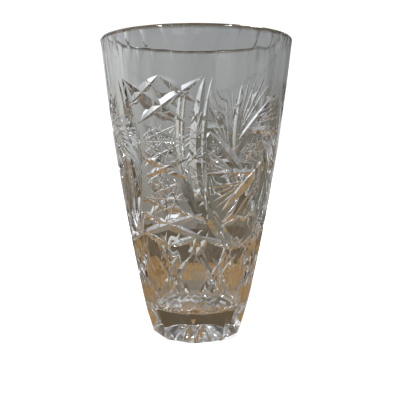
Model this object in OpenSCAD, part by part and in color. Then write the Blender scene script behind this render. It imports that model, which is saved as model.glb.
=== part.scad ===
// Tall tapered vase of clear lead crystal, blown thick and then cut on the wheel.
// Three tall panels of stars alternate with three pinwheels, each pinwheel inside
// a U-shaped double mitre, over a band of crossed leaves and a ten-sided foot.
// Origin: centre of the foot. +Z is up. The front panels are met looking along +Y.

/* [Body] */
// Height of the vase
height = 250; // [200:1:320]
// Outside radius at the rim
rim_r = 79; // [75:0.5:90]
// Outside radius of the blank at the tabletop, before the foot is cut
blank_r = 40.3; // [39:0.1:50]
// How far the side bows out past a straight line
side_bow = 4; // [0:0.1:6]

/* [Glass] */
// Wall thickness at the rim
rim_wall = 6; // [4.2:0.1:7]
// Wall thickness just above the floor
low_wall = 8; // [6:0.1:10]
// Thickness of the solid base
base_t = 26; // [20:0.5:34]
// Radius of the rounding between the floor and the wall
floor_round = 8; // [3:0.5:14]

/* [Rim flutes] */
// Number of flutes round the rim
flutes = 30; // [18:1:36]
// Depth of a flute at the rim
flute_depth = 0.5; // [0.3:0.1:1]
// Length of a flute down the side
flute_l = 15; // [10:1:24]
// Radius of the rounded wheel edge that grinds a flute
flute_r = 20; // [14:1:30]

/* [Pattern] */
// Number of panels, and of pinwheels between them
repeats = 3; // [2:1:3]
// Direction that the first star panel faces, from the front
panel_at = -21.5; // [-60:0.5:60]
// Plain glass between the rim and the pattern
plain_h = 36; // [30:0.5:50]
// Height of the pattern's lower edge
pattern_low = 84; // [78:0.5:90]

/* [Mitres] */
// Half the angle of a star panel between the mitres, at its waist
panel_half = 22; // [19:0.5:24]
// Angle that a mitre's arm draws in by at the top
arm_draw = 5; // [0:0.5:8]
// Width of the mitre's main groove
mitre_w = 9; // [6:0.1:10]
// Depth of the main groove
mitre_depth = 3; // [1.8:0.1:3.4]
// Width of the groove inside it
inner_w = 4.5; // [3:0.1:6]
// Depth of the groove inside it
inner_depth = 1.7; // [1:0.1:2.4]
// Angle between the two grooves
mitre_gap = 4.4; // [3:0.1:6]

/* [Lattice] */
// Width of the lattice leaves
lattice_w = 7; // [5:0.1:9]
// Depth of the lattice leaves
lattice_depth = 2.4; // [1.5:0.1:2.8]
// How far the long leaves fall across the top of a panel
long_fall = 34; // [28:0.5:38]
// How far the short leaves fall from the middle of its top edge
short_fall = 20; // [14:0.5:24]
// How far the leaves between the two stars fall
waist_fall = 16; // [10:0.5:20]
// How far the leaves fall across the foot of a panel
low_fall = 22; // [16:0.5:26]
// Width of the leaves that edge the pattern below
edge_w = 6; // [4:0.1:7]
// Height of the lower edge's crests, beside each panel
crest_h = 9; // [4:0.5:12]

/* [Pinwheels] */
// Number of vanes in a pinwheel
vanes = 8; // [6:1:10]
// Radius of the ring that the vanes touch
hub_r = 16; // [12:0.5:20]
// How far a vane runs past where it touches the ring
vane_root = 9; // [5:0.5:12]
// Width of the vanes
vane_w = 7.5; // [5:0.1:9]
// Depth of the vanes
vane_depth = 2.5; // [1.5:0.1:2.8]
// Width of the leaf in the upper corner
corner_w = 5; // [3:0.1:6]
// Depth of the leaf in the upper corner
corner_depth = 2; // [1:0.1:2.4]
// Length of the leaf in the upper corner
corner_l = 32; // [24:0.5:36]

/* [Leaf band] */
// Number of crossed groups in the band of leaves
groups = 9; // [7:1:9]
// Height of the band's lower edge
band_low = 43; // [40:0.5:48]
// Height of the band of leaves
band_h = 35; // [28:0.5:38]
// Width of a leaf in the band
leaf_w = 6; // [4:0.1:7]
// Depth of a leaf in the band
leaf_depth = 2.2; // [1:0.1:2.8]

/* [Foot] */
// Radius of the foot at its corners, at the tabletop
foot_r = 38.5; // [34:0.5:39]
// Number of flats round the foot
foot_flats = 10; // [8:1:14]
// Height at which a flat runs out in the side
flat_top = 40; // [30:0.5:42]
// Number of rays in the hollow star under the base
star_rays = 24; // [16:2:28]
// Depth of the star at its centre
star_depth = 13; // [5:0.5:14]
// How far a ray's sides spread for each millimetre of its depth
ray_spread = 1.4; // [1:0.05:1.8]
// Width of the flat ring that the vase stands on
foot_ring = 2.5; // [2:0.5:5]

/* [Hidden] */
$fn = 96;
lift = 1.5;           // how far a cutter stands proud of the glass
side_steps = 9;       // straight bands that make up the side's slow bow
leaf_steps = 6;       // facets along a leaf
mitre_steps = 16;     // facets along one arm of a mitre
star_steps = 6;       // facets along a ray of the star
tip = 0.02;           // share of its full size that a cut keeps at its tip
lip = rim_wall / 2;
pattern_top = height - plain_h;
pattern_h = pattern_top - pattern_low;
repeat_angle = 360 / repeats;
wheel_at = panel_at + repeat_angle / 2;
wheel_half = repeat_angle / 2 - panel_half;
wheel_z = pattern_low + 0.58 * pattern_h;
flat_in = foot_r * cos(180 / foot_flats);
star_r = flat_in - foot_ring;

// ---- the blank ----

function outer_r(z) = let (t = z / height)
    blank_r + (rim_r - blank_r) * t + 4 * side_bow * t * (1 - t);
// lean of the side from vertical
function side_tilt(z) = atan((outer_r(z + 1) - outer_r(z - 1)) / 2);
function wall_at(z) = low_wall + (rim_wall - low_wall) * (z - base_t) / (height - base_t);
function inner_r(z) = outer_r(z) - wall_at(z);

module blank() {
    levels = [for (i = [0 : side_steps - 1]) (height - lip) * i / side_steps];
    rotate_extrude() union() {
        polygon(concat(
            [[0, 0]],
            [for (z = levels) [outer_r(z), z]],
            [[rim_r, height - lip], [0, height - lip]]));
        translate([rim_r - lip, height - lip]) circle(r = lip);
    }
}

module cavity() {
    top = height + lift;
    low_z = base_t + floor_round;
    levels = [for (i = [0 : side_steps - 1]) low_z + (height - lip - low_z) * i / side_steps];
    rotate_extrude() difference() {
        union() {
            polygon(concat(
                [[0, base_t], [inner_r(low_z) - floor_round, base_t]],
                [for (z = levels) [inner_r(z), z]],
                [[rim_r - rim_wall, height - lip], [rim_r - rim_wall, top], [0, top]]));
            translate([inner_r(low_z) - floor_round, low_z]) circle(r = floor_round);
        }
        translate([rim_r - lip, height - lip]) circle(r = lip);
    }
}

// ---- how a cut is laid on the side ----

// A spot on the side, [angle from the front, height], proud of the glass or below it
function on_side(spot, proud) = let (
        tilt = side_tilt(spot[1]),
        r = outer_r(spot[1]) + proud * cos(tilt))
    [r * sin(spot[0]), -r * cos(spot[0]), spot[1] - proud * sin(tilt)];

// The direction of a path at one of its spots, unrolled: [round the body, up]
function heading(spots, i) = let (
        a = spots[max(i - 1, 0)],
        b = spots[min(i + 1, len(spots) - 1)],
        d = [(b[0] - a[0]) * PI / 180 * outer_r(spots[i][1]), b[1] - a[1]])
    d / norm(d);

// A V-shaped cutter from the line of its edge and the two lines of its open top
module v_cutter(edge, left, right) {
    last = len(edge) - 1;
    points = [for (i = [0 : last]) each [edge[i], left[i], right[i]]];
    faces = concat(
        [[0, 1, 2], [3 * last + 2, 3 * last + 1, 3 * last]],
        [for (i = [0 : last - 1]) for (k = [0 : 2]) let (
                p = 3 * i + k,
                q = 3 * i + (k + 1) % 3)
            each [[p, p + 3, q], [q, p + 3, q + 3]]]);
    polyhedron(points, faces);
}

// A groove ground in the side along spots, each [angle, height]. sizes gives how much of
// the full width and depth it has at each spot.
module groove(spots, sizes, width, depth) {
    count = len(spots) - 1;
    half = [for (i = [0 : count]) let (
            way = heading(spots, i),
            half_w = width / 2 * (sizes[i] + lift / depth))
        [way[1] * half_w * 180 / PI / outer_r(spots[i][1]), -way[0] * half_w]];
    v_cutter(
        [for (i = [0 : count]) on_side(spots[i], -depth * sizes[i])],
        [for (i = [0 : count]) on_side(spots[i] - half[i], lift)],
        [for (i = [0 : count]) on_side(spots[i] + half[i], lift)]);
}

// A leaf: the groove that a V-edged wheel leaves between two places
module leaf(a, b, width, depth) {
    share = [for (i = [0 : leaf_steps]) i / leaf_steps];
    groove(
        [for (t = share) a + (b - a) * t],
        [for (t = share) max(4 * t * (1 - t), tip)],
        width, depth);
}

// ---- the mitres ----

// Half the angle that a pinwheel's U spans at a height: nearly upright arms over a round foot
function u_half(z) = z > wheel_z
    ? wheel_half - arm_draw * pow((z - wheel_z) / (pattern_top - wheel_z), 2)
    : wheel_half * pow(1 - pow((wheel_z - z) / (wheel_z - pattern_low), 2.3), 1 / 1.6);

// One groove down one arm of the U. Its stations crowd towards the foot, where it turns most.
module mitre_arm(hand, shift, width, depth) {
    share = [for (i = [0 : mitre_steps]) i / mitre_steps];
    groove(
        [for (t = share) let (z = pattern_low + pattern_h * pow(t, 1.6))
            [wheel_at + hand * (u_half(z) + shift), z]],
        [for (t = share) max(tip, min(1, 2.2 * sqrt(1 - t), 0.35 + 3 * t))],
        width, depth);
}

module mitre_cuts() {
    for (hand = [-1, 1]) {
        mitre_arm(hand, 0.2 * mitre_gap, mitre_w, mitre_depth);
        mitre_arm(hand, -0.8 * mitre_gap, inner_w, inner_depth);
    }
}

// ---- the star panels ----

module panel_cuts() {
    top = pattern_top;
    ends = panel_half + 4;            // half the panel at its top and foot
    waist = panel_half - 5;           // half of what the leaves cross at its waist
    low_z = pattern_low + 7;
    edge_z = pattern_low + 2;
    crest = [panel_half + 1, edge_z + crest_h];
    valley = [repeat_angle / 2 - 3, pattern_low - 2];
    mid = pattern_low + 0.49 * pattern_h;
    function at(x, z) = [panel_at + x, z];
    for (s = [-1, 1]) {
        leaf(at(-s * ends, top), at(s * waist, top - long_fall), lattice_w, lattice_depth);
        leaf(at(0, top + 1), at(s * panel_half, top - short_fall + 1), lattice_w, lattice_depth);
        leaf(at(-s * waist, mid + waist_fall / 2), at(s * waist, mid - waist_fall / 2),
            edge_w, lattice_depth);
        leaf(at(-s * ends, low_z + low_fall), at(s * (ends + 6), low_z), lattice_w, lattice_depth);
        leaf(at(0, edge_z), at(s * crest[0], crest[1]), edge_w, lattice_depth);
        leaf(at(s * crest[0], crest[1]), at(s * valley[0], valley[1]), edge_w, lattice_depth);
    }
}

// ---- the pinwheels ----

// How far a vane that leaves the hub's ring in direction turn runs to the oval it fills
function vane_l(turn, oval) = let (
        a = pow(cos(turn) / oval[0], 2) + pow(sin(turn) / oval[1], 2),
        b = hub_r * sin(turn) * cos(turn) * (1 / pow(oval[1], 2) - 1 / pow(oval[0], 2)),
        c = pow(hub_r * sin(turn) / oval[0], 2) + pow(hub_r * cos(turn) / oval[1], 2) - 1)
    (-b + sqrt(b * b - a * c)) / a;

// A place in the pinwheel, given in millimetres from its centre, as [angle, height]
function wheel_spot(p) = let (z = wheel_z + p[1])
    [wheel_at + p[0] * 180 / PI / outer_r(z), z];

module pinwheel_cuts() {
    across = wheel_half * PI / 180 * outer_r(wheel_z) - inner_w - 1;
    oval = [across, 0.42 * pattern_h];
    for (i = [0 : vanes - 1]) {
        turn = i * 360 / vanes;
        way = [cos(turn), sin(turn)];
        touch = hub_r * [-way[1], way[0]];
        leaf(wheel_spot(touch - vane_root * way), wheel_spot(touch + vane_l(turn, oval) * way),
            vane_w, vane_depth);
    }
    corner = [-across, 0.31 * pattern_h];
    leaf(wheel_spot(corner), wheel_spot(corner + corner_l * [0.55, -0.83]), corner_w, corner_depth);
}

// ---- the band, the rim and the foot ----

module band_cuts() {
    top = band_low + band_h;
    cross = 23;                       // angle that a leaf crosses from foot to tip
    for (g = [0 : groups - 1]) for (s = [-1, 1]) for (out = [6, 16]) {
        at = panel_at + g * 360 / groups;
        leaf([at + s * (out - cross), band_low], [at + s * out, top], leaf_w, leaf_depth);
    }
}

// Each flute is deepest at the rim and fades out down the side
module rim_cuts() {
    low_x = outer_r(height - flute_l) + flute_r;
    lean = atan((rim_r - flute_depth + flute_r - low_x) / flute_l);
    for (i = [0 : flutes - 1])
        rotate([0, 0, panel_at - 90 + (i + 0.5) * 360 / flutes])
            translate([low_x, 0, height - flute_l])
                rotate([0, lean, 0])
                    translate([0, 0, -lift])
                        cylinder(r = flute_r, h = flute_l + 3 * lift);
}

module foot_cuts() {
    lean = atan((outer_r(flat_top) - flat_in) / flat_top);
    for (i = [0 : foot_flats - 1])
        rotate([0, 0, panel_at - 90 + i * 360 / foot_flats])
            translate([flat_in, 0, 0])
                rotate([0, lean, 0])
                    translate([0, -foot_r, -flat_top / 2])
                        cube([foot_r, 2 * foot_r, 2 * flat_top]);
}

// Height of the star's cutter along a ray, and along the ridge between two rays
function ray_z(r) = star_depth * (1 - pow(r / star_r, 2));
function ridge_z(r) = let (half = 180 / star_rays)
    ray_z(r * cos(half)) - r * sin(half) / ray_spread;

// The hollow star under the base, whose V-edged rays deepen towards the centre
module base_star() {
    sides = 2 * star_rays;
    out_r = star_r + foot_ring / 2;
    low_z = ridge_z(out_r) - lift;
    function ring(j) = [for (k = [0 : sides - 1]) let (
            r = out_r * j / star_steps,
            turn = panel_at - 90 + (k + 1) * 360 / sides)
        [r * cos(turn), r * sin(turn), k % 2 == 0 ? ray_z(r) : ridge_z(r)]];
    points = concat(
        [[0, 0, star_depth]],
        [for (j = [1 : star_steps]) each ring(j)],
        [for (p = ring(star_steps)) [p[0], p[1], low_z]],
        [[0, 0, low_z]]);
    last = len(points) - 1;
    faces = [for (k = [0 : sides - 1]) let (n = (k + 1) % sides)
        each concat(
            [[0, 1 + n, 1 + k]],
            [for (j = [0 : star_steps - 1]) let (p = 1 + j * sides)
                each [[p + k, p + n, p + sides + n], [p + k, p + sides + n, p + sides + k]]],
            [[last, last - sides + k, last - sides + n]])];
    polyhedron(points, faces);
}

module vase() {
    color([0.82, 0.86, 0.88, 0.7])
        difference() {
            blank();
            cavity();
            for (i = [0 : repeats - 1]) rotate([0, 0, i * repeat_angle]) {
                panel_cuts();
                pinwheel_cuts();
                mitre_cuts();
            }
            band_cuts();
            rim_cuts();
            foot_cuts();
            base_star();
        }
}

vase();
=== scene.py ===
"""A tall vase of cut lead crystal. The glass is one closed mesh: a turned blank with every
cut of the pattern ground out of it, as V-edged wheels leave them."""

from math import atan, cos, degrees, hypot, pi, radians, sin, sqrt

import bmesh
import bpy
import numpy as np
from mathutils import Matrix, Vector


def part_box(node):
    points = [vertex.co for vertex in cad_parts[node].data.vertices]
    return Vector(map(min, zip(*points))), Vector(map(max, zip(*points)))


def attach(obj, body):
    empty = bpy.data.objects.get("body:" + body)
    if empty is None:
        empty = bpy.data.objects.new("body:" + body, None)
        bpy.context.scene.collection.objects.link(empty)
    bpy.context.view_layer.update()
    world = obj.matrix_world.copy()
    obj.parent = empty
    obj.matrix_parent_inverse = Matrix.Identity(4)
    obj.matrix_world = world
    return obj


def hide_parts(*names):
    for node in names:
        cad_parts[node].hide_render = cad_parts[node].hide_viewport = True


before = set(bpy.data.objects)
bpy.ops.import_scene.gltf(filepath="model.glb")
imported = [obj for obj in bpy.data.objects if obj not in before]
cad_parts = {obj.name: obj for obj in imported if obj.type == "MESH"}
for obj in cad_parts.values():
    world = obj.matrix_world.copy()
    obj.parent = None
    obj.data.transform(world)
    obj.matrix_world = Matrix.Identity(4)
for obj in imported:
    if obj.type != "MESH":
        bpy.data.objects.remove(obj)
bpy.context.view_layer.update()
MM = 0.001

# ---- the vase's sizes in millimetres, as the CAD model has them ----

low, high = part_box("vase")
HEIGHT = (high.z - low.z) / MM
RIM_R = 79
BLANK_R = 40.3
SIDE_BOW = 4
RIM_WALL = 6
LOW_WALL = 8
BASE_T = 26
FLOOR_ROUND = 8
LIP = RIM_WALL / 2

FLUTES = 30
FLUTE_DEPTH = 0.5
FLUTE_L = 15
FLUTE_R = 20
FLUTE_SIDES = 120

REPEATS = 3
REPEAT_ANGLE = 360 / REPEATS
PANEL_AT = -21.5
PLAIN_H = 36
PATTERN_LOW = 84
PATTERN_TOP = HEIGHT - PLAIN_H
PATTERN_H = PATTERN_TOP - PATTERN_LOW
PANEL_HALF = 22
WHEEL_AT = PANEL_AT + REPEAT_ANGLE / 2
WHEEL_HALF = REPEAT_ANGLE / 2 - PANEL_HALF
WHEEL_UP = 0.58  # share of the pattern's height
WHEEL_Z = PATTERN_LOW + WHEEL_UP * PATTERN_H
ARM_DRAW = 5
MITRE_W, MITRE_DEPTH = 9, 3
INNER_W, INNER_DEPTH = 4.5, 1.7
MITRE_GAP = 4.4
MITRE_OUT, MITRE_IN = 0.2, -0.8  # shares of the gap, from the U's own line
U_FALL, U_ROUND = 2.3, 1.6       # powers that shape the U's lower half
MITRE_SPOTS, SPOTS_LOW = 33, 1.6
LATTICE_W, LATTICE_DEPTH = 7, 2.4
LONG_FALL, SHORT_FALL, WAIST_FALL, LOW_FALL = 34, 20, 16, 22
EDGE_W = 6
CREST_H = 9
CROSS_OUT, LOW_OUT, CREST_OUT = 4, 6, 1  # degrees outside the panel's edge
WAIST_IN, VALLEY_IN = 5, 3               # degrees inside it
PEAK_RISE, LOW_RISE, EDGE_RISE, VALLEY_DROP = 1, 7, 2, 2
PANEL_MID = 0.49  # share of the pattern's height
STAR_RISES = (19, -24)
VANES = 8
HUB_R = 16
VANE_ROOT = 9
VANE_W, VANE_DEPTH = 7.5, 2.5
OVAL_GAP, OVAL_H = 1, 0.42  # the height is a share of the pattern's
HUB_STAR_R = 12.5
CORNER_W, CORNER_DEPTH, CORNER_L = 5, 2, 32
CORNER_UP, CORNER_WAY = 0.31, (0.55, -0.83)
STAR_R = 18.5
LINE_W, LINE_DEPTH = 1.2, 0.45
FAN_W, FAN_DEPTH = 1.9, 0.7
FAN_RAYS, FAN_STEP = 4, 0.2  # the step is a share of the turn between vanes
FAN_AT, FAN_ROOT, FAN_REACH = 14, 3, 1.04

GROUPS = 9
BAND_LOW, BAND_H = 43, 35
LEAF_W, LEAF_DEPTH = 6, 2.2
LEAF_TIPS, LEAF_CROSS = (6, 16), 23

FOOT_R = 38.5
FOOT_FLATS = 10
FLAT_TOP = 40
FLAT_IN = FOOT_R * cos(pi / FOOT_FLATS)
STAR_RAYS = 24
BASE_STAR_DEPTH = 13
RAY_SPREAD = 1.4
FOOT_RING = 2.5
BASE_STAR_R = FLAT_IN - FOOT_RING

LIFT = 1.5       # how far a cutter stands proud of the glass
SEGMENTS = 240   # round the blank
SIDE_RINGS = 50  # up its side
LIP_RINGS = 15   # over its lip
WALL_RINGS = 44  # down its inner wall
ROUND_RINGS = 8  # round the floor's edge
STAR_RINGS = 14  # across the base star
TIP = 0.01       # share of its full size that a cut keeps at its tip
LINE_TIP = 0.02  # the same for a fine line
APART = 0.05     # room kept between the cutters of one layer

# how near a face is to the blank's true skin or lip, and how far it may turn from them
ON_SKIN, ON_LIP = 0.03, 0.06
SKIN_TURN, LIP_TURN = radians(2), radians(8)
SEAM = radians(3)    # the widest angle that is smoothed between skin and cut
SHARP = radians(11)  # and between two faces of the cuts

# each wave of the inner wall: height, how many go round, phase, and drift with height
RIPPLES = ((0.16, 7, 0.5, 0), (0.10, 12, 2.1, 0.004), (0.07, 19, 4.0, -0.006), (0.05, 31, 1.0, 0))
RIPPLE_RISE, RIPPLE_FADE, RIPPLE_END = 60, 10, 4  # grows above the floor, fades by the lip


# ---- the blank's outline ----

def outer_r(z):
    t = z / HEIGHT
    return BLANK_R + (RIM_R - BLANK_R) * t + 4 * SIDE_BOW * t * (1 - t)


def side_tilt(z):
    """Lean of the side from vertical, in radians."""
    return atan((outer_r(z + 1) - outer_r(z - 1)) / 2)


def inner_r(z):
    wall = LOW_WALL + (RIM_WALL - LOW_WALL) * (z - BASE_T) / (HEIGHT - BASE_T)
    return outer_r(z) - wall


def blank_profile():
    """The blank's outline from the middle of the foot round to the middle of the floor."""
    points = [(outer_r(z), z) for z in np.linspace(0, HEIGHT - LIP, SIDE_RINGS)]
    points[-1] = (RIM_R, HEIGHT - LIP)
    middle = RIM_R - LIP
    points += [(middle + LIP * cos(a), HEIGHT - LIP + LIP * sin(a))
               for a in np.linspace(0, pi, LIP_RINGS + 2)[1:-1]]
    floor_top = BASE_T + FLOOR_ROUND
    inside = [(inner_r(z), z) for z in np.linspace(HEIGHT - LIP, floor_top, WALL_RINGS)]
    inside[0] = (RIM_R - RIM_WALL, HEIGHT - LIP)
    points += inside
    middle = inner_r(floor_top) - FLOOR_ROUND
    points += [(middle + FLOOR_ROUND * cos(a), floor_top - FLOOR_ROUND * sin(a))
               for a in np.linspace(0, pi / 2, ROUND_RINGS + 1)[1:]]
    return points


def ripple(angle, z):
    """The slow unevenness of the blown inner wall, which fades out at the floor and the lip."""
    rise = min(max((z - BASE_T - FLOOR_ROUND) / RIPPLE_RISE, 0), 1)
    fade = min(max((HEIGHT - RIPPLE_END - z) / RIPPLE_FADE, 0), 1)
    waves = sum(h * sin(angle * n + phase + drift * z) for h, n, phase, drift in RIPPLES)
    return waves * (rise * fade)


def mesh_object(name, verts, faces):
    mesh = bpy.data.meshes.new(name)
    mesh.from_pydata([tuple(v) for v in verts], [], faces)
    mesh.validate()
    obj = bpy.data.objects.new(name, mesh)
    bpy.context.scene.collection.objects.link(obj)
    return obj


def make_blank():
    profile = blank_profile()
    lip_ring = SIDE_RINGS + LIP_RINGS
    verts, faces = [], []
    for i, (r, z) in enumerate(profile):
        for k in range(SEGMENTS):
            a = 2 * pi * k / SEGMENTS
            rr = r + (ripple(a, z) if i > lip_ring else 0)
            verts.append((rr * cos(a), rr * sin(a), z))
    for i in range(len(profile) - 1):
        for k in range(SEGMENTS):
            a, b = i * SEGMENTS + k, i * SEGMENTS + (k + 1) % SEGMENTS
            faces.append((a, b, b + SEGMENTS, a + SEGMENTS))
    faces.append(tuple(reversed(range(SEGMENTS))))
    last = (len(profile) - 1) * SEGMENTS
    faces.append(tuple(range(last, last + SEGMENTS)))
    return mesh_object("glass", verts, faces)


# ---- how a cut is laid on the side ----

def on_side(spot, proud):
    angle, z = radians(spot[0]), spot[1]
    tilt = side_tilt(z)
    r = outer_r(z) + proud * cos(tilt)
    return (r * sin(angle), -r * cos(angle), z - proud * sin(tilt))


def v_cutter(edge, left, right):
    """A closed V-shaped cutter from the line of its edge and the lines of its open top."""
    verts = [p for trio in zip(edge, left, right) for p in trio]
    last = 3 * (len(edge) - 1)
    faces = [(2, 1, 0), (last, last + 1, last + 2)]
    for i in range(len(edge) - 1):
        for k in range(3):
            p, q = 3 * i + k, 3 * i + (k + 1) % 3
            faces += [(q, p + 3, p), (q + 3, p + 3, q)]
    return verts, faces


def groove(spots, sizes, width, depth):
    """A V-shaped groove along (angle, height) spots, with a share of its full size at each."""
    spots = [np.array(s, float) for s in spots]
    edge, left, right = [], [], []
    for i, (spot, size) in enumerate(zip(spots, sizes)):
        a, b = spots[max(i - 1, 0)], spots[min(i + 1, len(spots) - 1)]
        r = outer_r(spot[1])
        way = np.array([radians(b[0] - a[0]) * r, b[1] - a[1]])
        way /= hypot(*way)
        half = width / 2 * (size + LIFT / depth)
        reach = np.array([degrees(way[1] * half / r), -way[0] * half])
        edge.append(on_side(spot, -depth * size))
        left.append(on_side(spot - reach, LIFT))
        right.append(on_side(spot + reach, LIFT))
    return v_cutter(edge, left, right)


def leaf(a, b, width, depth, steps=10):
    """The groove that a V-edged wheel leaves between two spots."""
    a, b = np.array(a, float), np.array(b, float)
    share = np.linspace(0, 1, steps + 1)
    sizes = [max(4 * t * (1 - t), TIP) for t in share]
    return groove([a + (b - a) * t for t in share], sizes, width, depth)


def line(a, b, width=LINE_W, depth=LINE_DEPTH):
    """A fine line cut, near its full depth over most of its length."""
    a, b = np.array(a, float), np.array(b, float)
    share = np.linspace(0, 1, 7)
    sizes = [max(LINE_TIP, 1 - abs(2 * t - 1) ** 3) for t in share]
    return groove([a + (b - a) * t for t in share], sizes, width, depth)


# ---- the pattern ----

def u_half(z):
    """Half the angle that a pinwheel's U spans at a height."""
    if z > WHEEL_Z:
        return WHEEL_HALF - ARM_DRAW * ((z - WHEEL_Z) / (PATTERN_TOP - WHEEL_Z)) ** 2
    drop = (WHEEL_Z - z) / (WHEEL_Z - PATTERN_LOW)
    return WHEEL_HALF * (1 - drop ** U_FALL) ** (1 / U_ROUND)


def mitre_arm(at, hand, shift, width, depth):
    """One arm of a U, with more spots near its foot, which tapers at both ends."""
    share = np.linspace(0, 1, MITRE_SPOTS)
    heights = [PATTERN_LOW + PATTERN_H * t ** SPOTS_LOW for t in share]
    sizes = [max(TIP, min(1, 2.2 * sqrt(1 - t), 0.35 + 3 * t)) for t in share]
    return groove([(at + hand * (u_half(z) + shift), z) for z in heights], sizes, width, depth)


def mitre_cuts(at):
    cuts = []
    for hand in (-1, 1):
        cuts.append(mitre_arm(at, hand, MITRE_OUT * MITRE_GAP, MITRE_W, MITRE_DEPTH))
        cuts.append(mitre_arm(at, hand, MITRE_IN * MITRE_GAP, INNER_W, INNER_DEPTH))
    return cuts


def disc_spot(centre, p):
    """A place given in millimetres from a motif's centre, as (angle, height)."""
    z = centre[1] + p[1]
    return centre[0] + degrees(p[0] / outer_r(z)), z


def eight_star(centre, radius, wide=LINE_W, deep=LINE_DEPTH):
    """Eight points, each joined to the three across from it."""
    turns = [radians(45 * k) for k in range(8)]
    tips = [disc_spot(centre, (radius * sin(t), radius * cos(t))) for t in turns]
    cuts = [line(tips[k], tips[(k + 3) % 8], wide, deep) for k in range(8)]
    return cuts + [line(tips[k], tips[k + 4], wide, deep) for k in range(4)]


def panel_cuts(at):
    top, low_z, edge_z = PATTERN_TOP, PATTERN_LOW + LOW_RISE, PATTERN_LOW + EDGE_RISE
    ends, waist = PANEL_HALF + CROSS_OUT, PANEL_HALF - WAIST_IN
    crest = PANEL_HALF + CREST_OUT, edge_z + CREST_H
    valley = REPEAT_ANGLE / 2 - VALLEY_IN, PATTERN_LOW - VALLEY_DROP
    mid = PATTERN_LOW + PANEL_MID * PATTERN_H
    half_fall = WAIST_FALL / 2
    # each cut: from (degrees from the panel's middle, height), to the same, and its width
    rows = [
        ((-ends, top), (waist, top - LONG_FALL), LATTICE_W),
        ((0, top + PEAK_RISE), (PANEL_HALF, top - SHORT_FALL + PEAK_RISE), LATTICE_W),
        ((-waist, mid + half_fall), (waist, mid - half_fall), EDGE_W),
        ((-ends, low_z + LOW_FALL), (ends + LOW_OUT, low_z), LATTICE_W),
        ((0, edge_z), crest, EDGE_W),
        (crest, valley, EDGE_W),
    ]
    cuts = [leaf((at + s * a[0], a[1]), (at + s * b[0], b[1]), width, LATTICE_DEPTH)
            for s in (-1, 1) for a, b, width in rows]
    for rise in STAR_RISES:
        cuts += eight_star((at, mid + rise), STAR_R)
    return cuts


def reach_oval(turn, start, oval):
    """How far from start, in direction turn, the edge of the pinwheel's oval is."""
    d = np.array([cos(turn), sin(turn)]) / oval
    p = np.array(start) / oval
    a, b, c = d @ d, d @ p, p @ p - 1
    return (-b + sqrt(b * b - a * c)) / a


def pinwheel_cuts(at):
    """Vanes that swirl round a hub star, a fan of rays behind each, and one corner cut."""
    centre = (at, WHEEL_Z)
    across = radians(WHEEL_HALF) * outer_r(WHEEL_Z) - INNER_W - OVAL_GAP
    oval = np.array([across, OVAL_H * PATTERN_H])
    cuts = []

    def cut(a, b, width, depth, steps=10):
        cuts.append(leaf(disc_spot(centre, a), disc_spot(centre, b), width, depth, steps))

    for i in range(VANES):
        turn = 2 * pi * i / VANES
        way = np.array([cos(turn), sin(turn)])
        touch = HUB_R * np.array([-way[1], way[0]])
        tip = touch + reach_oval(turn, touch, oval) * way
        cut(touch - VANE_ROOT * way, tip, VANE_W, VANE_DEPTH, 12)
        apex = touch + FAN_AT * way
        for k in range(FAN_RAYS):
            fan = turn - 2 * pi / VANES * (FAN_STEP + FAN_STEP * k)
            ray = np.array([cos(fan), sin(fan)])
            end = apex + reach_oval(fan, apex, oval * FAN_REACH) * ray
            cut(apex + FAN_ROOT * ray, end, FAN_W, FAN_DEPTH, 6)
    cuts += eight_star(centre, HUB_STAR_R)
    corner = np.array([-across, CORNER_UP * PATTERN_H])
    cut(corner, corner + CORNER_L * np.array(CORNER_WAY), CORNER_W, CORNER_DEPTH)
    return cuts


def band_cuts():
    cuts = []
    for g in range(GROUPS):
        at = PANEL_AT + g * 360 / GROUPS
        for s in (-1, 1):
            for tip in LEAF_TIPS:
                foot, head = at + s * (tip - LEAF_CROSS), at + s * tip
                cuts.append(leaf((foot, BAND_LOW), (head, BAND_LOW + BAND_H), LEAF_W, LEAF_DEPTH))
    return cuts


def prism(outline, bottom, top, spot):
    """A closed prism over an outline, with each (x, y, z) placed by spot."""
    count = len(outline)
    verts = [spot(x, y, z) for z in (bottom, top) for x, y in outline]
    faces = [tuple(reversed(range(count))), tuple(range(count, 2 * count))]
    for k in range(count):
        n = (k + 1) % count
        faces.append((k, n, n + count, k + count))
    return verts, faces


def leaning(angle, base, lean):
    """A rule that stands a tool on base, a point of (radius, height), leaning outwards."""
    turn = radians(angle)
    out, side = np.array([sin(turn), -cos(turn), 0]), np.array([cos(turn), sin(turn), 0])
    up = np.array([0, 0, 1])
    root = out * base[0] + up * base[1]
    across, along = out * cos(lean) - up * sin(lean), out * sin(lean) + up * cos(lean)
    return lambda x, y, z: root + across * x + side * y + along * z


def rim_flute(angle):
    """A flute that is deepest at the rim and fades out down the side."""
    low_x = outer_r(HEIGHT - FLUTE_L) + FLUTE_R
    lean = atan((RIM_R - FLUTE_DEPTH + FLUTE_R - low_x) / FLUTE_L)
    turns = [2 * pi * k / FLUTE_SIDES for k in range(FLUTE_SIDES)]
    outline = [(FLUTE_R * cos(t), FLUTE_R * sin(t)) for t in turns]
    stand = leaning(angle, (low_x, HEIGHT - FLUTE_L), lean)
    return prism(outline, -LIFT, FLUTE_L + 2 * LIFT, stand)


def foot_flat(angle):
    """A block whose inner face grinds one flat of the foot."""
    lean = atan((outer_r(FLAT_TOP) - FLAT_IN) / FLAT_TOP)
    outline = [(0, -FOOT_R), (FOOT_R, -FOOT_R), (FOOT_R, FOOT_R), (0, FOOT_R)]
    return prism(outline, -FLAT_TOP / 2, 1.5 * FLAT_TOP, leaning(angle, (FLAT_IN, 0), lean))


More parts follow.
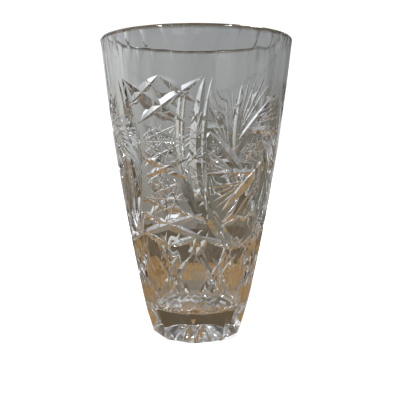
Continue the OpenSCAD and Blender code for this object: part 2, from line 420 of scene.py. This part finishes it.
def base_star():
    """The hollow star under the base, whose V-edged rays deepen towards the centre."""
    half, sides, steps = pi / STAR_RAYS, 2 * STAR_RAYS, STAR_RINGS
    out_r = BASE_STAR_R + FOOT_RING / 2

    def ray_z(r):
        return BASE_STAR_DEPTH * (1 - (r / BASE_STAR_R) ** 2)

    def ridge_z(r):
        return ray_z(r * cos(half)) - r * sin(half) / RAY_SPREAD

    def ring(j, z=None):
        r = out_r * j / steps
        turns = [radians(PANEL_AT) + (k + 1) * half for k in range(sides)]
        heights = [(ridge_z(r) if k % 2 else ray_z(r)) if z is None else z for k in range(sides)]
        return [(r * sin(t), -r * cos(t), h) for t, h in zip(turns, heights)]

    low_z = ridge_z(out_r) - LIFT
    verts = [(0, 0, BASE_STAR_DEPTH)]
    for j in range(1, steps + 1):
        verts += ring(j)
    verts += ring(steps, low_z) + [(0, 0, low_z)]
    last = len(verts) - 1
    faces = []
    for k in range(sides):
        n = (k + 1) % sides
        faces += [(0, 1 + k, 1 + n), (last, last - sides + n, last - sides + k)]
        for p in range(1, 1 + steps * sides, sides):
            faces += [(p + k, p + sides + n, p + n), (p + k, p + sides + k, p + sides + n)]
    return verts, faces


def all_cutters():
    cuts = band_cuts()
    for i in range(REPEATS):
        cuts += panel_cuts(PANEL_AT + i * REPEAT_ANGLE)
        wheel_at = WHEEL_AT + i * REPEAT_ANGLE
        cuts += pinwheel_cuts(wheel_at) + mitre_cuts(wheel_at)
    cuts += [rim_flute(PANEL_AT + (i + 0.5) * 360 / FLUTES) for i in range(FLUTES)]
    cuts += [foot_flat(PANEL_AT + i * 360 / FOOT_FLATS) for i in range(FOOT_FLATS)]
    return cuts + [base_star()]


# ---- grinding the cuts out of the blank ----

def in_layers(cuts):
    """Sorts the cutters into layers in which no two meet, so each layer is one closed cutter."""
    layers = []
    for verts, faces in cuts:
        v = np.array(verts, float)
        lo, hi = v.min(0) - APART, v.max(0) + APART
        for layer in layers:
            if not any((lo < h).all() and (l < hi).all() for l, h, _, _ in layer):
                layer.append((lo, hi, v, faces))
                break
        else:
            layers.append([(lo, hi, v, faces)])
    return layers


def grind(blank, cuts):
    """Takes every cutter out of the blank."""
    for layer in in_layers(cuts):
        verts, faces = [], []
        for _, _, v, f in layer:
            faces += [tuple(i + len(verts) for i in face) for face in f]
            verts += list(v)
        cutter = mesh_object("cutter", verts, faces)
        cut = blank.modifiers.new("cut", "BOOLEAN")
        cut.operation, cut.solver, cut.object = "DIFFERENCE", "MANIFOLD", cutter
        depsgraph = bpy.context.evaluated_depsgraph_get()
        ground = bpy.data.meshes.new_from_object(blank.evaluated_get(depsgraph))
        blank.modifiers.clear()
        old, blank.data = blank.data, ground
        for mesh in (old, cutter.data):
            bpy.data.meshes.remove(mesh)
    return blank


def skin_normals(x, y, z):
    """The blank's own outward normals at points on its outside, from its outline."""
    tilt = np.vectorize(side_tilt)(z)
    r = np.hypot(x, y)
    return np.stack([x / r * np.cos(tilt), y / r * np.cos(tilt), -np.sin(tilt)], 1)


def lip_normals(x, y, z):
    """The normals of the rounded lip."""
    r = np.hypot(x, y)
    across, up = (r - RIM_R + LIP) / LIP, (z - HEIGHT + LIP) / LIP
    length = np.hypot(across, up)
    return np.stack([x / r * across / length, y / r * across / length, up / length], 1)


def surface_kind(centres, normals):
    """For each face: 1 on the blank's outside, 2 on the lip, 0 on a cut or anywhere else."""
    x, y, z = centres.T
    r = np.hypot(x, y)
    on_skin = np.abs(r - np.vectorize(outer_r)(z)) < ON_SKIN
    along = (normals * skin_normals(x, y, z)).sum(1) > cos(SKIN_TURN)
    skin = on_skin & along & (z < HEIGHT - LIP)
    off_lip = np.abs(np.hypot(r - RIM_R + LIP, z - HEIGHT + LIP) - LIP)
    along = (normals * lip_normals(x, y, z)).sum(1) > cos(LIP_TURN)
    lip = (off_lip < ON_LIP) & along & (z > HEIGHT - LIP)
    return skin * 1 + lip * 2


def finish_surface(obj):
    """Smooths the blank's own skin by its true outline, and leaves the cuts' edges crisp."""
    mesh = obj.data
    faces = mesh.polygons
    centres, normals = np.zeros(len(faces) * 3), np.zeros(len(faces) * 3)
    faces.foreach_get("center", centres)
    faces.foreach_get("normal", normals)
    kind = surface_kind(centres.reshape(-1, 3), normals.reshape(-1, 3))
    bm = bmesh.new()
    bm.from_mesh(mesh)
    for face in bm.faces:
        face.smooth = True
    for edge in bm.edges:
        a, b = edge.link_faces
        if kind[a.index] and kind[b.index]:
            edge.smooth = True
        elif kind[a.index] or kind[b.index]:
            edge.smooth = edge.calc_face_angle() < SEAM
        else:
            edge.smooth = edge.calc_face_angle() < SHARP
    bm.to_mesh(mesh)
    bm.free()
    points = np.zeros(len(mesh.vertices) * 3)
    mesh.vertices.foreach_get("co", points)
    corner_vert = np.zeros(len(mesh.loops), int)
    mesh.loops.foreach_get("vertex_index", corner_vert)
    sizes = np.zeros(len(faces), int)
    faces.foreach_get("loop_total", sizes)
    corner_kind = np.repeat(kind, sizes)
    x, y, z = points.reshape(-1, 3)[corner_vert].T
    true = np.zeros((len(corner_vert), 3))
    for code, rule in ((1, skin_normals), (2, lip_normals)):
        here = corner_kind == code
        true[here] = rule(x[here], y[here], z[here])
    mesh.transform(Matrix.Scale(MM, 4))
    mesh.normals_split_custom_set(true)


# ---- the glass ----

# painted shade, not the glass's own colour: the lip is greyed where its rounded edge bends in the
# dark room; clear glass came out paler here than the photo's dark lip
LIP_PAINTED_SHADE = (0.64, 0.625, 0.595, 1)


def add_node(tree, kind, **settings):
    made = tree.nodes.new("ShaderNode" + kind)
    for name, value in settings.items():
        setattr(made, name, value)
    return made


def crystal_material():
    """Clear lead crystal: water-white, with the faint drift of its polish and the slow striae
    that blown glass keeps in its walls; over the lip, painted shade turns it grey-brown."""
    mat = bpy.data.materials.new("crystal")
    mat.use_nodes = True
    tree = mat.node_tree
    glass = tree.nodes["Principled BSDF"]
    glass.inputs["Transmission Weight"].default_value = 1
    glass.inputs["IOR"].default_value = 1.545
    place = add_node(tree, "TexCoord")
    tall = add_node(tree, "Mapping")
    tall.inputs["Scale"].default_value = (1, 1, 0.12)
    tree.links.new(place.outputs["Object"], tall.inputs["Vector"])

    polish = add_node(tree, "TexNoise")
    polish.inputs["Scale"].default_value = 900
    polish.inputs["Detail"].default_value = 4
    tree.links.new(place.outputs["Object"], polish.inputs["Vector"])
    rough = add_node(tree, "MapRange")
    rough.inputs["To Min"].default_value = 0.0
    rough.inputs["To Max"].default_value = 0.045
    tree.links.new(polish.outputs["Fac"], rough.inputs["Value"])
    tree.links.new(rough.outputs["Result"], glass.inputs["Roughness"])

    striae = add_node(tree, "TexNoise")
    striae.inputs["Scale"].default_value = 60
    striae.inputs["Detail"].default_value = 3
    tree.links.new(tall.outputs["Vector"], striae.inputs["Vector"])
    wave = add_node(tree, "Bump")
    wave.inputs["Strength"].default_value = 0.25
    wave.inputs["Distance"].default_value = 0.0004
    tree.links.new(striae.outputs["Fac"], wave.inputs["Height"])
    tree.links.new(wave.outputs["Normal"], glass.inputs["Normal"])

    tint = add_node(tree, "ValToRGB")
    tint.color_ramp.elements[0].color = (0.955, 0.965, 0.955, 1)
    tint.color_ramp.elements[1].color = (0.985, 0.99, 0.985, 1)
    tree.links.new(striae.outputs["Fac"], tint.inputs["Fac"])
    parts = add_node(tree, "SeparateXYZ")
    tree.links.new(place.outputs["Object"], parts.inputs["Vector"])
    # painted shade: the glass's colour turns grey-brown over the lip, in place of the dark its
    # rounded edge bends in
    near_lip = add_node(tree, "MapRange")
    near_lip.inputs["From Min"].default_value = (HEIGHT - LIP - 0.6) * MM
    near_lip.inputs["From Max"].default_value = (HEIGHT - LIP + 0.4) * MM
    tree.links.new(parts.outputs["Z"], near_lip.inputs["Value"])
    lip_shade_mix = add_node(tree, "MixRGB")
    lip_shade_mix.inputs["Color2"].default_value = LIP_PAINTED_SHADE
    tree.links.new(near_lip.outputs["Result"], lip_shade_mix.inputs["Fac"])
    tree.links.new(tint.outputs["Color"], lip_shade_mix.inputs["Color1"])
    tree.links.new(lip_shade_mix.outputs["Color"], glass.inputs["Base Color"])
    return mat


# ---- the stage, of which only the floor is seen by the camera ----

# the part of the table that the vase shades, behind it
SHADE_AT = (0, 0.1, 0)
SHADE_R, SHADE_EDGE = 0.06, 0.03

# sine of the height above the horizon, and the room's colour there; the step at 0.15 stands in
# for a faint line that crosses the smooth glass in the photo
ROOM = [
    (-0.99, (0.08, 0.065, 0.05)),
    (-0.30, (0.13, 0.11, 0.09)),
    (-0.10, (0.265, 0.255, 0.23)),
    (0.00, (0.325, 0.33, 0.325)),
    (0.145, (0.345, 0.355, 0.365)),
    (0.16, (0.44, 0.45, 0.465)),
    (0.24, (0.48, 0.49, 0.50)),
    (0.36, (0.54, 0.55, 0.57)),
    (0.60, (0.46, 0.47, 0.48)),
    (0.98, (0.16, 0.16, 0.16)),
]

# across the room, from left to right: how bright it is
ROOM_SIDES = [(-1.0, 1.2), (-0.50, 1.7), (-0.33, 2.1), (-0.20, 1.3), (-0.12, 1.0),
              (0.15, 0.92), (0.35, 0.4), (0.60, 0.9), (0.99, 0.75)]

# the soft patches that break the room up away from its horizon
PATCHES = [(-0.2, (0.25, 0.25, 0.25)), (0.0, (0.9, 0.9, 0.9)), (0.2, (1.35, 1.35, 1.4))]
PATCHES_FROM, PATCHES_FULL = 0.12, 0.35
OPEN_WHITE = 1.15

# each lamp: name, degrees round from the front, degrees up, size in metres, watts
LAMPS = [("lamp_left", -50, 55, 0.3, 16), ("lamp_right", 60, 60, 0.2, 10),
         ("lamp_behind", 150, 50, 0.2, 10)]
LAMP_AWAY = 1.6

# the camera, as fitted to the photograph; its distances are in vase heights
LENS, SENSOR = 48.73, 36
CAMERA_BACK, CAMERA_UP = 1.866, 0.7212
LOOK_DOWN, LOOK_RIGHT = 8, 0.37


def stage_plane(name, x0, x1, y0, y1, z, mat):
    mesh = bpy.data.meshes.new(name)
    mesh.from_pydata([(x0, y0, z), (x1, y0, z), (x1, y1, z), (x0, y1, z)], [], [(0, 1, 2, 3)])
    mesh.materials.append(mat)
    plane = bpy.data.objects.new(name, mesh)
    bpy.context.scene.collection.objects.link(plane)
    return plane


def stage_wall(name, x0, x1, y, z0, z1, mat):
    wall = stage_plane(name, x0, x1, -z1, -z0, 0, mat)
    wall.rotation_euler.x = -pi / 2
    wall.location.y = y
    return wall


def matte(name, colour):
    mat = bpy.data.materials.new(name)
    mat.use_nodes = True
    skin = mat.node_tree.nodes["Principled BSDF"]
    skin.inputs["Base Color"].default_value = (*colour, 1)
    skin.inputs["Roughness"].default_value = 0.8
    skin.inputs["Specular IOR Level"].default_value = 0
    return mat


def wood_material():
    """Tan wood with a long grain, which only the glass sees, greyer where the vase shades it."""
    mat = matte("table_wood", (0.31, 0.19, 0.08))
    tree = mat.node_tree
    place = add_node(tree, "TexCoord")
    grain_way = add_node(tree, "Mapping")
    grain_way.inputs["Scale"].default_value = (1, 9, 1)
    grain = add_node(tree, "TexNoise")
    grain.inputs["Scale"].default_value = 6
    colour = add_node(tree, "ValToRGB")
    colour.color_ramp.elements[0].position = 0.35
    colour.color_ramp.elements[0].color = (0.23, 0.135, 0.055, 1)
    colour.color_ramp.elements[1].position = 0.65
    colour.color_ramp.elements[1].color = (0.37, 0.235, 0.105, 1)
    tree.links.new(place.outputs["Object"], grain_way.inputs["Vector"])
    tree.links.new(grain_way.outputs["Vector"], grain.inputs["Vector"])
    tree.links.new(grain.outputs["Fac"], colour.inputs["Fac"])

    offset = add_node(tree, "VectorMath", operation="DISTANCE")
    offset.inputs[1].default_value = SHADE_AT
    tree.links.new(place.outputs["Object"], offset.inputs[0])
    shaded = add_node(tree, "MapRange")
    shaded.inputs["From Min"].default_value = SHADE_R
    shaded.inputs["From Max"].default_value = SHADE_R + SHADE_EDGE
    shaded.inputs["To Min"].default_value = 1
    shaded.inputs["To Max"].default_value = 0
    tree.links.new(offset.outputs["Value"], shaded.inputs["Value"])
    blend = add_node(tree, "MixRGB")
    blend.inputs["Color2"].default_value = (0.2, 0.175, 0.14, 1)
    tree.links.new(shaded.outputs["Result"], blend.inputs["Fac"])
    tree.links.new(colour.outputs["Color"], blend.inputs["Color1"])
    tree.links.new(blend.outputs["Color"], tree.nodes["Principled BSDF"].inputs["Base Color"])
    return mat


def fill_ramp(ramp, rows):
    """Sets a colour ramp's stops from (place from -1 to 1, colour) rows."""
    stops = ramp.color_ramp.elements
    while len(stops) > 1:
        stops.remove(stops[0])
    stops[0].position = (rows[0][0] + 1) / 2
    stops[0].color = (*rows[0][1], 1)
    for place, colour in rows[1:]:
        stops.new((place + 1) / 2).color = (*colour, 1)


def build_room():
    """White for the camera and for the floor's light. What the glass bends and mirrors is a grey
    room, brighter above and to the left, with soft patches away from its horizon."""
    world = bpy.data.worlds.new("studio")
    bpy.context.scene.world = world
    world.use_nodes = True
    tree = world.node_tree
    tree.nodes.clear()
    place = add_node(tree, "TexCoord")
    parts = add_node(tree, "SeparateXYZ")
    tree.links.new(place.outputs["Generated"], parts.inputs["Vector"])

    level = add_node(tree, "MapRange")
    level.inputs["From Min"].default_value = -1
    level.inputs["From Max"].default_value = 1
    tree.links.new(parts.outputs["Z"], level.inputs["Value"])
    walls = add_node(tree, "ValToRGB")
    fill_ramp(walls, ROOM)
    tree.links.new(level.outputs["Result"], walls.inputs["Fac"])

    side = add_node(tree, "ValToRGB")
    fill_ramp(side, [(at, (bright,) * 3) for at, bright in ROOM_SIDES])
    across = add_node(tree, "MapRange")
    across.inputs["From Min"].default_value = -1
    across.inputs["From Max"].default_value = 1
    tree.links.new(parts.outputs["X"], across.inputs["Value"])
    tree.links.new(across.outputs["Result"], side.inputs["Fac"])

    patches = add_node(tree, "TexNoise")
    patches.inputs["Scale"].default_value = 2.2
    patches.inputs["Detail"].default_value = 1
    tree.links.new(place.outputs["Generated"], patches.inputs["Vector"])
    contrast = add_node(tree, "ValToRGB")
    fill_ramp(contrast, PATCHES)
    tree.links.new(patches.outputs["Fac"], contrast.inputs["Fac"])
    steep = add_node(tree, "MapRange")
    steep.inputs["From Min"].default_value = PATCHES_FROM
    steep.inputs["From Max"].default_value = PATCHES_FULL
    height = add_node(tree, "Math", operation="ABSOLUTE")
    tree.links.new(parts.outputs["Z"], height.inputs[0])
    tree.links.new(height.outputs[0], steep.inputs["Value"])
    broken = add_node(tree, "MixRGB", blend_type="MULTIPLY")
    tree.links.new(steep.outputs["Result"], broken.inputs["Fac"])
    tree.links.new(walls.outputs["Color"], broken.inputs["Color1"])
    tree.links.new(contrast.outputs["Color"], broken.inputs["Color2"])
    sided = add_node(tree, "MixRGB", blend_type="MULTIPLY")
    sided.inputs["Fac"].default_value = 1
    tree.links.new(broken.outputs["Color"], sided.inputs["Color1"])
    tree.links.new(side.outputs["Color"], sided.inputs["Color2"])
    shade = add_node(tree, "Background")
    tree.links.new(sided.outputs["Color"], shade.inputs["Color"])

    open_white = add_node(tree, "Background")
    open_white.inputs["Color"].default_value = (1, 1, 1, 1)
    open_white.inputs["Strength"].default_value = OPEN_WHITE
    path = add_node(tree, "LightPath")
    either = add_node(tree, "Math", operation="MAXIMUM")
    tree.links.new(path.outputs["Is Camera Ray"], either.inputs[0])
    tree.links.new(path.outputs["Is Diffuse Ray"], either.inputs[1])
    pick = add_node(tree, "MixShader")
    tree.links.new(either.outputs[0], pick.inputs["Fac"])
    tree.links.new(shade.outputs["Background"], pick.inputs[1])
    tree.links.new(open_white.outputs["Background"], pick.inputs[2])
    out = add_node(tree, "OutputWorld")
    tree.links.new(pick.outputs["Shader"], out.inputs["Surface"])


def soft_lamp(name, azimuth, elevation, size, power):
    """A small soft lamp, turned to face the vase, which the camera doesn't see."""
    lamp = bpy.data.lights.new(name, "AREA")
    lamp.shape, lamp.size, lamp.size_y, lamp.energy = "RECTANGLE", size, size, power
    obj = bpy.data.objects.new(name, lamp)
    bpy.context.scene.collection.objects.link(obj)
    turn, lift = radians(azimuth), radians(elevation)
    way = Vector((sin(turn) * cos(lift), -cos(turn) * cos(lift), sin(lift)))
    obj.location = Vector((0, 0, HEIGHT * MM / 2)) + way * LAMP_AWAY
    obj.rotation_euler = way.to_track_quat("Z", "Y").to_euler()
    obj.visible_camera = False


def place_camera():
    """At the photograph's distance and height, looking down and a little right of the vase."""
    tall = HEIGHT * MM
    data = bpy.data.cameras.new("camera")
    data.lens, data.sensor_width = LENS, SENSOR
    camera = bpy.data.objects.new("camera", data)
    camera.location = (0, -CAMERA_BACK * tall, CAMERA_UP * tall)
    camera.rotation_euler = (radians(90 - LOOK_DOWN), 0, radians(-LOOK_RIGHT))
    bpy.context.scene.collection.objects.link(camera)
    bpy.context.scene.camera = camera


glass = grind(make_blank(), all_cutters())
finish_surface(glass)
glass.data.materials.clear()
glass.data.materials.append(crystal_material())
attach(glass, "root")
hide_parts("vase")

build_room()
floor = stage_plane("floor", -30, 30, -30, 30, 0, matte("pale_floor", (0.98, 0.98, 0.975)))
floor.visible_transmission = floor.visible_glossy = False
table = stage_plane("table", -0.3, 0.34, -0.25, 0.22, -0.0002, wood_material())
# painted shade: a dark brown strip at the table's back edge stands in for the wood and wall in
# shade beyond it
board = stage_wall("board", -0.5, 0.6, 0.22, 0, 0.045, matte("wood_in_painted_shade", (0.05, 0.039, 0.025)))
# partly its own olive colour, partly painted shade: a dark panel on the right stands in for the
# lower wall in shade there
cabinet = stage_wall("cabinet", 0.012, 0.6, 0.4, 0, 0.17, matte("olive_and_painted_shade", (0.072, 0.067, 0.051)))
for prop in (table, board, cabinet):
    prop.visible_camera = prop.visible_diffuse = prop.visible_shadow = False
for row in LAMPS:
    soft_lamp(*row)

scene = bpy.context.scene
scene.view_settings.view_transform = "Standard"
scene.cycles.max_bounces = 32
scene.cycles.transmission_bounces = 28
scene.cycles.glossy_bounces = 12
place_camera()
